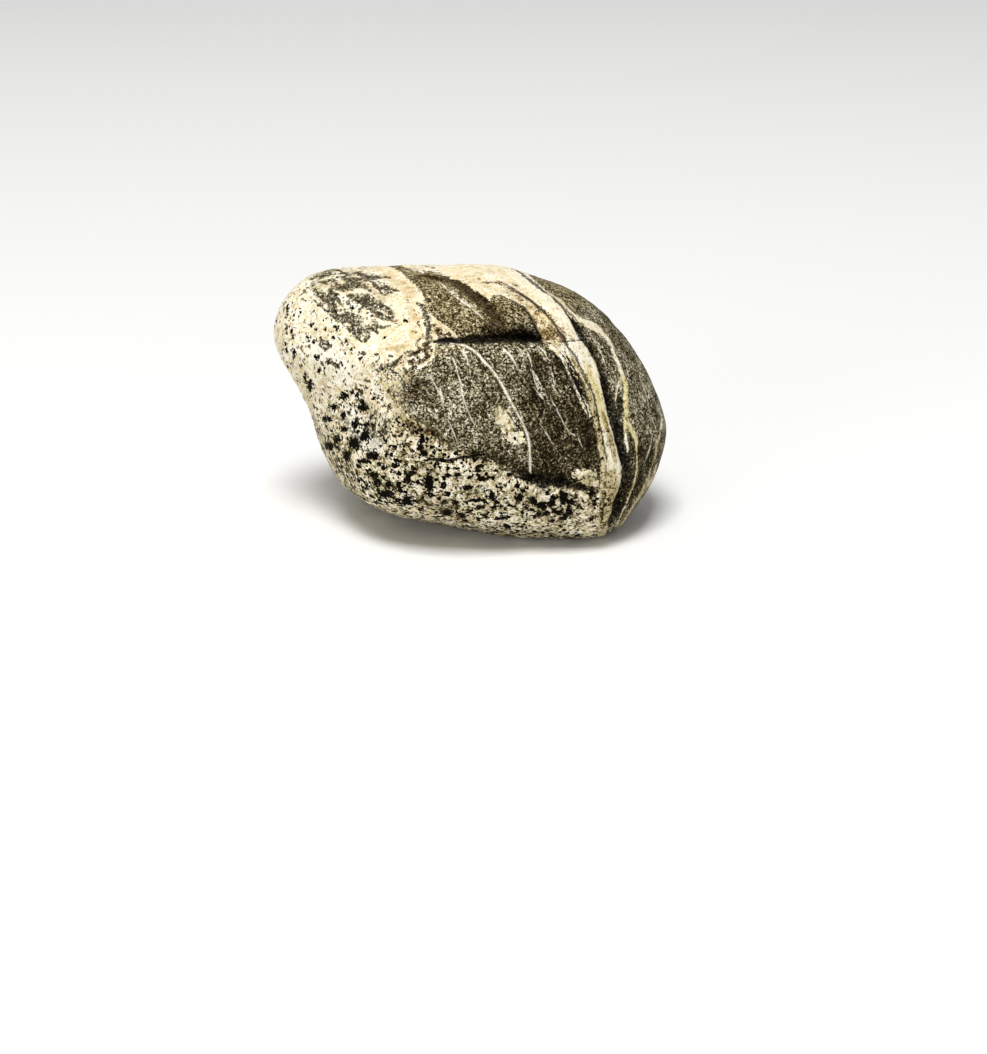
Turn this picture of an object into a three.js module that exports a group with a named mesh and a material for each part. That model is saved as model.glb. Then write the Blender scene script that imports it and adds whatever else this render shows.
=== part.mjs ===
// A water-worn aquarium rock: one loose stone of banded gneiss, about the size of a grapefruit.
// Millimetres, +Z up. The origin is on the ground, under the middle of the stone's box.
// +X is to the viewer's right and -Y is towards the viewer, who looks at the face with the ledge.
//
// The stone is shaped as the viewer sees it, with x to the right, y up and z towards the viewer, all
// measured from its middle, and is then tipped onto the ground.
import * as THREE from "three";
import { mergeVertices } from "three/addons/utils/BufferGeometryUtils.js";

// The viewer stands this far from the stone's middle, and looks down on it by this angle.
const VIEW_DISTANCE = 950;
const VIEW_ELEVATION = THREE.MathUtils.degToRad(18);

// How finely the stone is faceted, and how hard the edges between its worn faces are.
const DETAIL = 18;
const EDGE_HARDNESS = 10;

// Height of the stone's middle above the ground, and over what height its belly eases down to it.
const MIDDLE_HEIGHT = 47.5;
const BELLY_EASE = 5;

// The worn faces: the direction that each one looks, and how far it lies from the stone's middle.
const WORN_FACES = {
  front: { looks: [0.16, -0.18, 0.97], distance: 59 },
  frontLeft: { looks: [-0.66, -0.08, 0.75], distance: 59 },
  frontRight: { looks: [0.8, 0.05, 0.6], distance: 69 },
  frontLow: { looks: [-0.05, -0.8, 0.6], distance: 57 },
  brow: { looks: [0.12, 0.52, 0.85], distance: 66 },
  topLeft: { looks: [-0.3, 0.68, 0.68], distance: 66 },
  top: { looks: [0.08, 0.93, 0.37], distance: 60 },
  rightShoulder: { looks: [0.62, 0.6, 0.5], distance: 65 },
  leftEnd: { looks: [-0.99, 0.1, 0], distance: 83 },
  leftUnder: { looks: [-0.9, -0.41, 0.15], distance: 65 },
  leftCrown: { looks: [-0.65, 0.76, 0], distance: 84 },
  crown: { looks: [0.03, 1, 0], distance: 60 },
  rightCrown: { looks: [0.59, 0.81, 0], distance: 64 },
  rightEnd: { looks: [0.9, 0.42, 0], distance: 72 },
  rightUnder: { looks: [0.84, -0.54, 0], distance: 80 },
  rightFoot: { looks: [0.45, -0.89, 0], distance: 75 },
  foot: { looks: [-0.22, -0.97, 0], distance: 51 },
  back: { looks: [-0.08, -0.15, -0.98], distance: 61 },
  backTop: { looks: [-0.12, 0.65, -0.75], distance: 59 },
  backLeft: { looks: [-0.8, 0.12, -0.58], distance: 68 },
  backRight: { looks: [0.74, 0.1, -0.66], distance: 67 },
  backLow: { looks: [0.1, -0.72, -0.68], distance: 62 },
};

// The stone's outline as the viewer sees it, clockwise from its left end.
const OUTLINE = [
  [-80.4, 30.5],
  [-78.3, 39],
  [-73, 47],
  [-66, 53.2],
  [-57, 56.2],
  [-42, 57.2],
  [-12, 57.8],
  [8, 57.6],
  [20, 55],
  [34.5, 50.8],
  [47.6, 44],
  [60.7, 32],
  [70.5, 18],
  [77.2, 4],
  [80.7, -11],
  [79.4, -21],
  [74.6, -33],
  [68, -42.5],
  [59.8, -52],
  [51, -55.5],
  [25, -56.2],
  [8, -53.5],
  [-12, -49],
  [-28, -46.2],
  [-40.5, -41.2],
  [-52.5, -32.4],
  [-60, -20],
  [-67.5, 1],
  [-74, 13],
  [-79, 22],
];

// The broken ledge across the front, along a level line. Above the line the stone is cut back, deeper
// towards the right where the cut ends at a steep wall, and the cut fades out upwards over its reach.
// Below the line a lip stands out. Facet corners within the gathering distance are drawn to the line.
const LEDGE = {
  left: -15,
  right: 30,
  height: 26.2,
  depth: 6,
  reach: 9,
  lip: 0.9,
  wall: 3,
  gather: 5,
};

// The seam that has worn back along the right of the thick pale vein: where it runs, from the top down.
const SEAM = {
  route: [
    [42, 30],
    [50, 20],
    [57, 2],
    [62, -20],
    [61, -38],
    [57, -50],
  ],
  depth: 1.2,
  width: 3.5,
};

// Broad swells, with a height above 0, and hollows, below 0, that water and breakage have left. Each
// is centred on a direction from the stone's middle and spreads over an angle in degrees.
const SWELLS = [
  { looks: [0.36, -0.46, 0.81], height: -1.8, spread: 9 },
  { looks: [-0.62, 0.1, 0.78], height: 1.2, spread: 16 },
  { looks: [-0.3, 0.45, 0.84], height: -1.4, spread: 14 },
  { looks: [0.1, -0.7, 0.7], height: 1.4, spread: 17 },
  { looks: [0.93, -0.2, 0.3], height: 1.1, spread: 15 },
  { looks: [0.72, 0.6, -0.34], height: -1.6, spread: 16 },
  { looks: [-0.5, 0.75, -0.42], height: -1.8, spread: 18 },
  { looks: [0.15, 0.3, -0.94], height: 1.6, spread: 20 },
  { looks: [-0.4, -0.1, -0.9], height: -2.2, spread: 13 },
  { looks: [0.5, -0.4, -0.77], height: -1.5, spread: 14 },
  { looks: [-0.9, -0.1, -0.42], height: -1.6, spread: 15 },
  { looks: [0.2, 0.8, -0.56], height: 1.3, spread: 15 },
];

// How far the stone reaches from its middle along a direction: a polyhedron with rounded edges.
const faces = Object.values(WORN_FACES).map(({ looks, distance }) =>
  new THREE.Vector3(...looks).normalize().divideScalar(distance),
);
function reachAlong(direction) {
  let sum = 0;
  for (const face of faces) {
    sum += Math.max(0, face.dot(direction)) ** EDGE_HARDNESS;
  }
  return sum ** (-1 / EDGE_HARDNESS);
}

// Where the viewer sees a point: nearer points are seen larger.
function seenAt(point) {
  const enlarge = VIEW_DISTANCE / (VIEW_DISTANCE - point.z);
  return new THREE.Vector2(point.x, point.y).multiplyScalar(enlarge);
}

// How far from the middle the worn faces are seen to reach, at an angle round the line of sight.
function seenReach(angle) {
  const steps = 64;
  let furthest = 0;
  for (let step = 1; step < steps; step++) {
    const tilt = Math.PI * (step / steps - 0.5);
    const point = new THREE.Vector3(
      Math.cos(angle) * Math.cos(tilt),
      Math.sin(angle) * Math.cos(tilt),
      Math.sin(tilt),
    );
    point.multiplyScalar(reachAlong(point));
    furthest = Math.max(furthest, seenAt(point).length());
  }
  return furthest;
}

// Points along the drawn outline, each as its angle and its distance from the middle.
const outline = new THREE.CatmullRomCurve3(
  OUTLINE.map(([x, y]) => new THREE.Vector3(x, y, 0)),
  true,
  "centripetal",
)
  .getPoints(1440)
  .map((point) => ({ angle: Math.atan2(point.y, point.x), reach: point.length() }));

// How far the outline reaches at an angle round the line of sight.
function outlineReach(angle) {
  let nearest = outline[0];
  for (const point of outline) {
    if (Math.abs(point.angle - angle) < Math.abs(nearest.angle - angle)) nearest = point;
  }
  return nearest.reach;
}

// Draws the stone in or out, square to the line of sight, until its edge follows the drawn outline.
// The middle of each side stays as it is, so that nothing puckers there.
function fitOutline(point) {
  const angle = Math.atan2(point.y, point.x);
  const reach = seenReach(angle);
  const share = THREE.MathUtils.smoothstep(seenAt(point).length() / reach, 0.1, 0.8);
  const scale = THREE.MathUtils.lerp(1, outlineReach(angle) / reach, share);
  point.x *= scale;
  point.y *= scale;
}

// Moves the stone's surface straight in or out from its middle.
function raise(point, height) {
  point.addScaledVector(point.clone().normalize(), height);
}

// Raises the broad swells and sinks the hollows.
function swell(point) {
  for (const { looks, height, spread } of SWELLS) {
    const apart = THREE.MathUtils.radToDeg(point.angleTo(new THREE.Vector3(...looks)));
    raise(point, height * Math.exp(-((apart / spread) ** 2)));
  }
}

// Cuts the ledge straight back from the viewer, once the corners near its line are drawn to the line.
function cutLedge(point) {
  if (point.z < 0) return;
  const { left, right, height, depth, reach, lip, wall, gather } = LEDGE;
  const seen = seenAt(point);
  const along = THREE.MathUtils.smoothstep(seen.x, left, right - wall);
  const inside = along * (1 - THREE.MathUtils.smoothstep(seen.x, right, right + wall));
  const above = seen.y - height;
  const kept = Math.min(1, Math.abs(above) / gather) ** 3;
  point.y -= above * (1 - kept) * Math.min(1, 4 * inside);
  const cut = above > 0 ? -depth * Math.exp(-((above / reach) ** 2)) : lip * Math.exp(above / reach);
  point.z += cut * inside;
}

// Wears back the seam beside the pale vein.
const seam = new THREE.CatmullRomCurve3(SEAM.route.map(([x, y]) => new THREE.Vector3(x, y, 0)));
const seamPoints = seam.getPoints(60);
function wearSeam(point) {
  if (point.z < 0) return;
  const seen = seenAt(point);
  const apart = Math.min(...seamPoints.map((p) => Math.hypot(p.x - seen.x, p.y - seen.y)));
  raise(point, -SEAM.depth * Math.exp(-((apart / SEAM.width) ** 2)));
}

// Lets the belly down onto the ground: it eases to the ground and is worn flat there.
function settle(point) {
  const height = point.z + MIDDLE_HEIGHT;
  if (height > BELLY_EASE / 2) {
    point.z = height;
  } else {
    const left = Math.max(0, height + BELLY_EASE / 2);
    point.z = left ** 2 / (2 * BELLY_EASE);
  }
}

// The stone's closed surface, shaped from a ball of even triangles.
function stoneGeometry() {
  const ball = new THREE.IcosahedronGeometry(1, DETAIL);
  ball.deleteAttribute("normal");
  ball.deleteAttribute("uv");
  const geometry = mergeVertices(ball, 1e-5);
  const position = geometry.getAttribute("position");
  const tip = new THREE.Matrix4().makeRotationX(Math.PI / 2 - VIEW_ELEVATION);
  const point = new THREE.Vector3();
  for (let i = 0; i < position.count; i++) {
    point.fromBufferAttribute(position, i).normalize();
    point.multiplyScalar(reachAlong(point));
    swell(point);
    fitOutline(point);
    cutLedge(point);
    wearSeam(point);
    point.applyMatrix4(tip);
    settle(point);
    position.setXYZ(i, point.x, point.y, point.z);
  }
  return geometry;
}

// Puts the middle of the stone's box over the origin.
function centreOverOrigin(geometry) {
  geometry.computeBoundingBox();
  const middle = geometry.boundingBox.getCenter(new THREE.Vector3());
  geometry.translate(-middle.x, -middle.y, 0);
  geometry.computeVertexNormals();
  return geometry;
}

const gneiss = new THREE.MeshStandardMaterial({ color: 0x8f866c, roughness: 0.75, metalness: 0 });

const rock = new THREE.Mesh(centreOverOrigin(stoneGeometry()), gneiss);
rock.name = "rock";

const stone = new THREE.Group();
stone.add(rock);

export default stone;
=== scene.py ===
"""A water-worn aquarium rock of banded gneiss: pale speckled granite, dark schist and cream veins.

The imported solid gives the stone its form. Here it is refined, weathered and given its minerals. The
minerals are drawn as lines and outlines where the viewer sees them, in the pixels of a 987 by 1054
view, and they run on through the stone, so the sides and the back show the same layers.
"""
import math
from types import SimpleNamespace

import bmesh
import bpy
import numpy as np
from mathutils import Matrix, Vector, noise


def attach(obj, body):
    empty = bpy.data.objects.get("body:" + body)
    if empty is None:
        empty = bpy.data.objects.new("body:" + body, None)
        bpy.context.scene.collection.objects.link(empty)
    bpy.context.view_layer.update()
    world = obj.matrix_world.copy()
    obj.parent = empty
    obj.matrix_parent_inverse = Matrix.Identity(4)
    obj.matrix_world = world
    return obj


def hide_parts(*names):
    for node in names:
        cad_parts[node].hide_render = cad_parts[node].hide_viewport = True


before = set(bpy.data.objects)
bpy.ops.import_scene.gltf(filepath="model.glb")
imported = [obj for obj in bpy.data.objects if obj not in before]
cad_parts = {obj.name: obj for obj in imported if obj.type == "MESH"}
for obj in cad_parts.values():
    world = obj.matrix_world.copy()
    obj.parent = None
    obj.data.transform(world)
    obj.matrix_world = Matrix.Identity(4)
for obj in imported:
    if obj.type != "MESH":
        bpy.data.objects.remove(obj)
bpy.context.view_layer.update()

# The viewer: the size of the view and its focal length in pixels, and the stone's middle in metres,
# with the pixel where it is seen, its distance and the angle at which the viewer looks down on it.
VIEW_SIZE = (987, 1054)
FOCAL_PIXELS = 2322
MIDDLE = Vector((-0.0005, -0.0027, 0.0475))
MIDDLE_SEEN = (468, 405)
VIEW_DISTANCE = 0.95
VIEW_ELEVATION = math.radians(18)
AWAY = Vector((0, math.cos(VIEW_ELEVATION), -math.sin(VIEW_ELEVATION)))
SENSOR = 36

# Size of a pixel of the view at the stone's middle.
MM_PER_PIXEL = 1000 * VIEW_DISTANCE / FOCAL_PIXELS

# How the layers lean as they run back through the stone, in pixels for each mm of depth, and how far in
# front of the stone's middle the lean starts, in mm. Then the broad bends in them: their size in mm, how
# far they reach for each mm of depth, in pixels, and which way.
LEAN = (0.75, -0.3)
LEAN_START = 4
BEND_SIZE = 38
BEND_REACH = 0.35
BEND_WAY = (1, 0.6)

# Between these depths behind the stone's middle, in mm, the marks that only the front has fade out.
FRONT_FADE = (-4, 22)

# The granite is fine above the first of these rows of pixels and coarse below the second. The rows are
# counted at a column, and rise to its right.
COARSENING = (362, 462)
COARSE_COLUMN = 330
COARSE_RISE = 0.3

# Far outside a drawn body, in widths of its mixed zone, and far from a drawn line, in pixels.
FAR_OUTSIDE = 9.0
FAR_OFF = 30.0

# Heights in mm that weathering gives the surface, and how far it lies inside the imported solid.
BROAD_WEAR = 0.5
GRANITE_ROUGHNESS = 0.26
SCHIST_ROUGHNESS = 0.16
VEIN_RISE = 0.3
BLACK_WEAR = 0.8
CRACK_WEAR = 0.9
INSET = 0.5

# Sizes of the mineral grains in mm, how far they stretch along the layers, and how far their edges are
# stirred, in metres, by noise that has so many lumps to the metre.
TINY_GRAIN = 0.52
SMALL_GRAIN = 0.9
LARGE_GRAIN = 1.7
LAYER_STRETCH = 0.12
STIR_REACH = 0.0009
STIR_LUMPS = 900.0

# Dark schist bodies, as closed outlines of x, y and, third, how far the two rocks mix there, in pixels.
FRONT_SCHIST = [
    (436, 343, 1.5),
    (434.5, 354, 1.5),
    (433, 360, 3),
    (426, 365.5, 4),
    (416, 370.5, 5),
    (408, 378, 6),
    (404, 388, 6),
    (403, 401, 8),
    (408, 415, 8),
    (422, 425, 6),
    (433, 434, 5),
    (444, 444, 4),
    (456, 452, 3),
    (470, 457, 4),
    (492, 462, 5),
    (506, 470, 4),
    (518, 478, 3),
    (528, 483, 3),
    (560, 489, 4),
    (585, 491, 4),
    (603, 488, 3),
    (608, 450, 2),
    (602, 410, 2),
    (592, 376, 2),
    (581, 360, 2),
    (572, 356, 2),
    (562, 354, 3),
    (552, 350, 3),
    (543, 344, 3),
    (500, 344, 1.5),
    (460, 343, 1.5),
]
UPPER_SCHIST = [
    (384, 260, 1.5),
    (391, 266, 1.5),
    (400, 270.5, 1.5),
    (404, 274, 2),
    (409, 278.5, 2),
    (414, 283, 2),
    (418, 287.5, 2),
    (421, 292, 2),
    (424, 298, 2.5),
    (425, 304, 2.5),
    (425, 310, 2),
    (431, 313.5, 1.5),
    (437, 320, 1.5),
    (446, 325.5, 1.5),
    (453, 331, 1.5),
    (459, 338, 1.5),
    (462, 345, 1),
    (500, 345, 1),
    (541, 345, 1),
    (541, 337, 2),
    (538.5, 329, 2.5),
    (535.5, 322, 2.5),
    (531.5, 315.5, 2.5),
    (527, 310, 2.5),
    (521.5, 305.5, 2.5),
    (515, 302, 2.5),
    (509, 299, 2.5),
    (503, 296.5, 2.5),
    (497, 294.5, 2),
    (492, 295.5, 1.5),
    (490, 301, 1),
    (486, 297, 1.5),
    (480, 292.5, 1.5),
    (475, 290, 1.5),
    (471, 286, 1.5),
    (463, 281, 2),
    (450, 276, 2),
    (441, 273, 2),
    (432, 270, 3),
    (422, 271.5, 3),
    (412, 269, 2),
    (402, 265, 1.5),
    (396, 258, 1.5),
]
RIGHT_SCHIST = [
    (518, 258, 1),
    (532, 280, 1.5),
    (548, 292, 1.5),
    (560, 303, 1.5),
    (569, 314, 1.5),
    (577, 328, 1.5),
    (585, 340, 1.5),
    (594, 354, 1.5),
    (600, 370, 1.5),
    (602, 384, 1.5),
    (606, 402, 1.5),
    (611, 422, 1.5),
    (616, 440, 1.5),
    (621, 458, 1.5),
    (622, 478, 1.5),
    (617, 496, 1.5),
    (611, 516, 1.5),
    (604, 545, 1.5),
    (620, 640, 1),
    (800, 560, 1),
    (780, 200, 1),
    (560, 200, 1),
]

# Cream veins, each as x, y and width along it.
THICK_VEIN = [
    (500, 254, 16),
    (516, 270, 14),
    (533, 286, 12),
    (549, 300, 11),
    (557.5, 310, 11),
    (564, 320, 10.5),
    (569.5, 330, 10),
    (574.5, 340, 13),
    (581, 350, 16),
    (586.5, 360, 15.5),
    (591.5, 370, 13.5),
    (595, 380, 11),
    (597.5, 390, 10.5),
    (600.3, 400, 11),
    (605.2, 420, 10.5),
    (609.5, 440, 12.5),
    (614.5, 460, 13.5),
    (616, 470, 14),
    (614.8, 480, 14.5),
    (612, 492, 13.5),
    (609.5, 505, 10),
    (606.3, 520, 8.5),
    (602, 534, 6.5),
    (596, 550, 6),
]
CREAM_VEINS = [
    THICK_VEIN,
    [(550, 345, 3), (556, 351, 3), (561, 356, 3), (565, 363, 3), (569, 371, 3), (573, 380, 3),
     (577.5, 391, 2.8), (581, 401, 3), (584.5, 408, 3), (588, 416, 0)],
    [(560, 342, 6), (567, 350, 5), (572, 358, 4), (578, 368, 3.4), (582.5, 376, 3.4), (586, 384, 3.2),
     (588.5, 392, 3.4), (591, 400, 4), (593.5, 410, 4.4), (596, 420, 4), (598.2, 430, 4.4),
     (599.8, 440, 4.4), (601.8, 450, 4.4), (603.5, 460, 4.6), (604, 470, 5), (603.5, 480, 5),
     (602.3, 490, 4), (601.5, 500, 3), (600.5, 515, 2.6), (598, 532, 3)],
    [(527, 279, 0.6), (538, 286, 1.6), (545, 290.5, 1.8), (552, 295.5, 2.4), (557, 298, 2.4),
     (562, 301, 3.4), (567, 307, 2), (574, 313.5, 2.4), (580, 319, 3.4), (586, 322.5, 6.4),
     (594, 325.5, 8), (600, 329, 5.4), (604, 333, 4), (609, 338.5, 3.6), (612.5, 346, 2.2),
     (615, 354, 2.4), (618, 361, 2.8), (621, 369, 3.2), (624.5, 378, 3.8), (626.5, 386, 4),
     (626.2, 396, 4), (627, 406, 4.2), (627, 417, 4.4), (627, 424, 4.6), (625.8, 431, 2.2),
     (627.2, 440, 2.6), (629, 448, 1.6), (629.5, 454, 0)],
    [(628, 420, 1), (631, 427, 3.2), (634.5, 434, 3.8), (636.5, 441, 3), (637, 452, 0.8),
     (637.7, 465, 0.8), (636.5, 475, 1.2), (634.5, 486, 0.6), (630, 497, 1.2), (626.5, 506, 1.4),
     (622.5, 515, 1), (618, 527, 0.4)],
    [(620, 380, 1), (618.5, 387, 3), (617, 394, 2.2), (616, 402, 0)],
    [(662, 420, 1), (661, 432, 1.6), (657.5, 445, 1.8), (655, 458, 2), (651, 471, 2.4),
     (646, 484, 2.8), (641, 495, 2.8), (634.5, 505, 2.6), (628.5, 514, 2.4), (622.5, 524, 2),
     (616, 535, 1)],
    [(659, 462, 0), (655, 474, 1.6), (649, 485, 2), (643, 494, 0)],
]

# Thin white streaks in the schist: the long ones run on through the stone, and the short ones don't.
LONG_STREAKS = [
    [(457, 342.5, 1), (464, 345, 2), (472, 349, 2.4), (478, 353.5, 2.4), (484, 361, 2.4),
     (491, 368, 2.2), (497, 376, 2.4), (503, 386, 2.2), (509, 398, 2.2), (517, 412, 1.6),
     (524, 426, 1.8), (528.5, 438, 2.2), (530, 452, 1.8), (530.5, 472, 1.4)],
]
SHORT_STREAKS = [
    [(440, 281, 0), (444, 285, 1.8), (449, 289, 2), (455, 294.5, 2), (461, 300, 2), (466, 303.5, 1.6),
     (471, 307, 1.4), (477, 312, 1.2), (483, 317, 0)],
    [(450.5, 288, 0), (455, 291.5, 0.8), (459, 294.5, 0)],
    [(464, 298.5, 0), (469, 302.5, 0.7), (475, 307, 0)],
    [(447, 344, 0), (451, 351, 1.8), (453, 358, 2.2), (455.5, 365, 1.4), (457.5, 372, 0.6),
     (461, 385, 1.1), (463, 397, 1.1), (466, 406, 0.6), (470, 416, 0.6), (474, 424, 0)],
    [(459, 346, 0), (464, 353, 1.6), (467.5, 360, 1.3), (468, 368, 0)],
    [(474, 362, 0), (477, 371, 1), (480, 382, 0)],
    [(503, 348, 0), (508, 353, 2), (513, 359, 1.8), (518, 369, 0)],
    [(516, 345, 0), (522, 353, 1.2), (524, 364, 0)],
    [(521, 344, 0), (528, 353, 1.4), (532, 365, 0.9), (535, 380, 0.7), (542, 396, 1.2), (549, 411, 0)],
    [(530, 342, 0.6), (538, 346, 2), (545, 352, 2), (549, 360, 1), (551, 368, 0.8), (554, 379, 1.2),
     (556, 390, 0)],
    [(534, 371, 0), (541, 383, 2), (546, 390, 1.6), (549, 395, 0)],
    [(535, 388, 0), (540, 395, 1.4), (546, 404, 1), (550, 412, 0)],
    [(550, 380, 0), (554, 387, 1.6), (557, 393, 0)],
    [(550, 398, 0), (556, 407, 1.6), (560, 415, 1.2), (566, 427, 0.3), (572, 434, 0.7), (577, 436, 2),
     (582, 446, 0)],
    [(541, 425, 0), (547, 434, 0.9), (556, 450, 0)],
    [(430, 375, 0), (438, 392, 0.8), (444, 410, 0)],
    [(448, 420, 0), (454, 434, 0.9), (458, 444, 0)],
    [(440, 385, 0), (440.5, 392, 2.4), (442.5, 399, 1.8), (445, 406, 0)],
    [(590, 332, 0), (599, 346, 0.8), (605, 362, 0.7), (608, 374, 0)],
    [(640, 372, 0), (648, 396, 0.6), (651, 420, 0)],
    [(653, 436, 0), (650, 450, 1), (645, 464, 0)],
]

# Where dark mica crowds in the pale granite, each as x, y and width along it.
MICA_PATCHES = [
    [(311, 278, 2), (317, 275, 4), (324, 274, 5), (330, 272, 3)],
    [(325, 270, 1), (334, 269, 2), (341, 270, 2)],
    [(341, 271, 3), (349, 273.5, 3), (356, 272, 3), (361, 273, 5), (366, 276, 4)],
    [(341, 275, 3), (346, 278.5, 5), (353, 278, 4), (360, 278.5, 4), (367, 277, 7), (373, 277, 4),
     (382, 275.5, 2.4), (390, 276, 2)],
    [(318, 281, 3), (326, 281, 3.6), (332, 279, 3), (336, 282, 4)],
    [(332, 288, 3), (338, 286.5, 6), (343, 286.5, 8), (349, 284.5, 9), (356, 283, 8), (361, 284, 5),
     (366, 287, 4), (372, 291, 1.5)],
    [(371, 281, 2), (375, 285, 4), (380, 287.5, 4), (385, 286.5, 8), (390, 289, 4), (400, 289.5, 1.6)],
    [(379, 292, 2), (386, 292.5, 3.4), (392, 291, 2)],
    [(312, 281, 3), (313, 287, 4), (316, 292, 5), (321, 296, 9), (327, 299, 12), (332, 302, 12),
     (333, 308, 9), (335, 314, 7), (340, 319, 5)],
    [(329, 290, 3), (334, 295, 5), (338, 300, 4), (341, 304, 2)],
    [(318, 301, 1), (323, 307, 1.8), (328, 312, 2), (334, 318, 1)],
    [(340, 317, 5), (346, 315, 8), (350, 318, 11), (355, 321, 13), (352, 326, 9)],
    [(341, 320, 3), (346, 326, 4), (351, 331, 4), (356, 336, 3), (361, 341, 2)],
    [(354, 330, 7), (360, 331, 8), (366, 332, 7), (368, 337, 4), (364, 341, 4)],
    [(358, 311, 3), (362, 310, 2)],
    [(350, 295, 5), (355, 297, 7), (361, 298, 10), (366, 300.5, 13), (372, 303, 12), (378, 304, 10),
     (383, 306, 5), (388, 309, 5), (392, 314, 4)],
    [(372, 311, 3), (378, 313, 6), (384, 317, 4), (391, 317, 4)],
    [(367, 330, 3), (371, 328, 4), (377, 332, 3)],
    [(372, 321, 2), (376, 325, 4), (382, 327, 3), (389, 325, 2)],
    [(321, 344, 3), (324, 344.5, 3.4), (327, 345, 2)],
    [(326, 358, 2), (331, 362, 5), (338, 367, 4)],
    [(381, 369, 3), (387, 366, 6), (393, 364, 7), (396, 361, 4), (400, 357, 2), (405, 352.5, 1.8),
     (411, 350.5, 2)],
    [(387, 369, 2), (391, 371, 3), (397, 374, 4), (401, 379, 3)],
    [(400, 379, 3), (404, 385, 5), (407, 392, 5), (410, 401, 4), (415, 411, 4), (423, 421, 4),
     (430, 428, 3)],
    [(411, 351, 2), (416, 353, 5), (419, 350, 3)],
    [(416.5, 343, 3.4), (418, 347, 2.4)],
    [(422, 345.5, 3), (426, 343.5, 4), (429, 340.5, 2)],
    [(424, 349, 2), (427, 354, 5), (425, 358, 3)],
    [(409, 361, 2), (413, 363, 2.4)],
    [(403, 368, 3), (407, 374, 2.4)],
    [(412, 366.5, 1.6), (416, 366.5, 1.6)],
    [(417, 371, 2.4), (424, 368, 3), (430, 365.5, 2)],
    [(412, 377, 4), (417, 377, 3)],
    [(436, 329, 1.4), (437, 333, 1.8), (440, 337, 2.6)],
    [(446, 334, 2), (450, 333, 2.6), (451, 336, 2.6)],
    [(417, 302, 2), (421, 304.5, 5), (425, 306, 4)],
    [(424, 310, 4), (426, 316, 6), (427.5, 323, 6.5), (428.5, 330, 6), (429, 338, 6)],
    [(372, 436, 4), (383, 432, 8), (386, 422, 7)],
]

# Where mica is strewn through the pale rock.
STREWN_MICA = [
    [(376, 366, 12), (386, 378, 20), (394, 392, 24), (404, 408, 22), (420, 424, 16), (436, 436, 10)],
    [(436, 326, 5), (441, 331, 8), (447, 335, 8), (453, 338, 5)],
    [(404, 352, 6), (414, 358, 10), (420, 362, 10)],
]

# The largest black clots, each as x, y, width and height.
CLOTS = [
    (286, 308, 2.4, 8), (285.5, 316, 3, 5), (291, 331, 3.4, 4), (292, 337, 3, 4), (284, 343, 2.6, 6),
    (294, 354, 3.4, 8), (286, 351, 3, 5), (281, 350, 2.4, 4), (287, 367, 3, 4), (304, 378, 3.4, 9),
    (309, 386, 7, 10), (301, 366, 3, 3), (316, 357, 5, 4), (318, 371, 3, 4), (328, 363, 5, 4),
    (334, 365, 6, 4), (310, 325, 3.4, 3.4), (315, 329, 3.4, 4), (335, 326, 5.6, 4), (325, 329, 3.4, 3.4),
    (333, 337, 3.6, 3), (336, 331, 4, 3), (306, 337, 3.4, 3), (308, 341, 4.4, 3.4), (303, 321, 2.6, 3),
    (313, 323, 2.6, 3), (320, 338, 3.4, 3), (345, 340, 3.4, 3), (346, 344, 3.4, 3), (351, 349, 3.4, 3),
    (351, 307, 4, 3), (384, 337, 3.4, 3), (405, 320, 4, 2.6), (418, 322, 3.4, 2.6),
    (343, 397, 9, 8), (351, 393, 4, 4), (356, 396, 5, 5), (362, 408, 10, 8), (361, 402, 5, 5),
    (333, 407, 9, 5), (372, 399, 4, 3), (326, 419, 9, 6), (342, 416, 5, 9), (343, 429, 7, 5),
    (353, 425, 6, 8), (366, 425, 8, 6), (364, 436, 9, 11), (353, 444, 12, 11), (327, 446, 11, 7),
    (336, 440, 6, 7), (346, 456, 5, 8), (362, 461, 10, 6), (373, 456, 11, 10), (395, 466, 8, 5),
    (357, 473, 4, 4), (373, 475, 13, 5), (376, 484, 7, 9), (384, 495, 15, 7), (388, 485, 6, 6),
    (398, 488, 6, 9), (407, 478, 8, 13), (420, 447, 7, 9), (424, 453, 8, 6), (445, 442, 6, 6),
    (429, 484, 8, 23), (406, 502, 18, 9), (443, 485, 8, 6), (457, 475, 8, 5), (467, 488, 8, 6),
    (456, 504, 6, 5), (447, 515, 9, 5), (462, 517, 6, 5), (482, 480, 8, 5), (492, 498, 7, 7),
    (478, 508, 6, 6), (519, 498, 9, 8), (534, 502, 7, 10), (542, 507, 10, 6), (538, 514, 8, 6),
    (552, 502, 6, 12), (563, 498, 7, 13), (571, 503, 8, 9), (558, 512, 12, 7), (570, 513, 8, 7),
    (563, 519, 8, 5), (594, 492, 11, 8), (595, 503, 5, 6), (592, 520, 6, 4), (507, 528, 6, 5),
    (547, 514, 5, 5), (580, 507, 5, 7), (527, 508, 6, 4),
]

# Pale lenses in the schist, as closed outlines.
PALE_LENSES = [
    [(493, 409, 2), (501, 404, 2), (511, 413, 2), (519, 426, 2), (526, 439, 2), (521, 445, 2),
     (511, 442, 2), (503, 433, 2), (496, 422, 2)],
    [(570, 474, 2), (579, 470.5, 2), (594, 470.5, 2), (598, 479, 2), (598, 487, 2), (590, 487, 2),
     (580, 480, 2)],
    [(430, 313, 1.5), (434, 319, 1.5), (441, 322.5, 1.5), (448, 327, 1.5), (454, 332, 1.5),
     (460, 339, 1.5), (455, 343, 2), (440, 343, 2), (432, 341, 2), (429.5, 328, 2)],
]

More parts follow.
